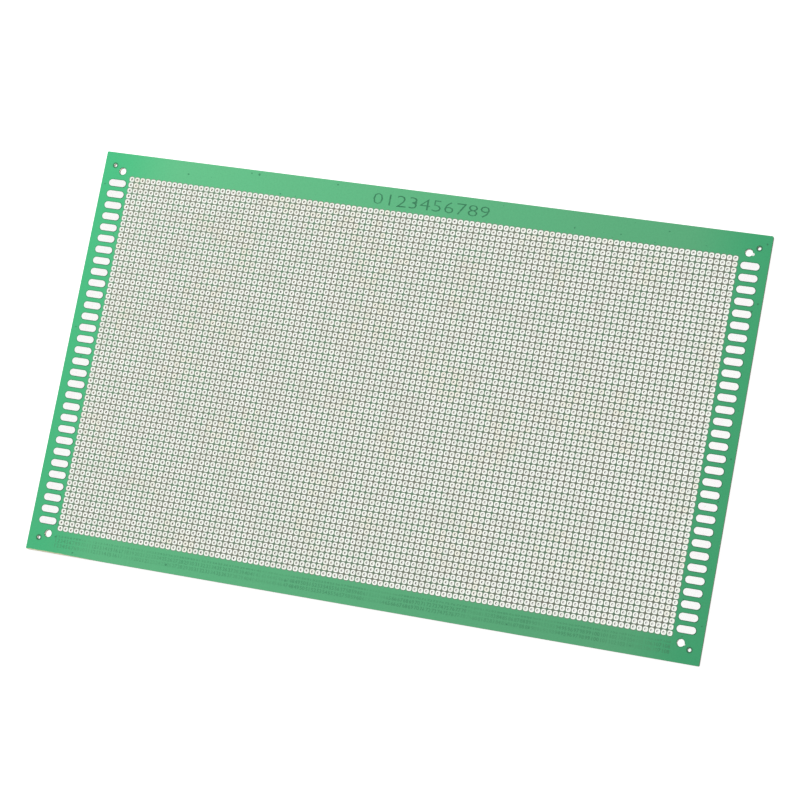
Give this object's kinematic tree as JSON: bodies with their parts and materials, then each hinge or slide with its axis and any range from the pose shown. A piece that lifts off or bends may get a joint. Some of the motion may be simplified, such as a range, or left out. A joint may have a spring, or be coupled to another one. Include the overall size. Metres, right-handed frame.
{
  "type": "prototype board",
  "caption": "Flat drilled laminate board with a grid of round tinned solder pads, long contact pads down both short sides and a mounting hole in each corner.",
  "frame": {"origin": "middle of the flat underside of the sheet", "axes": "+X along the long side, +Y along the short side, +Z out of the face with the pads"},
  "size_m": [0.3, 0.18, 0.0017],
  "materials": {
    "masked_laminate": "glossy green solder mask over tan laminate",
    "tinned_copper": "bright levelled solder coat"
  },
  "bodies": {
    "root": {"laminate": "masked_laminate", "contacts_left": "tinned_copper", "contacts_right": "tinned_copper"}
  },
  "joints": []
}
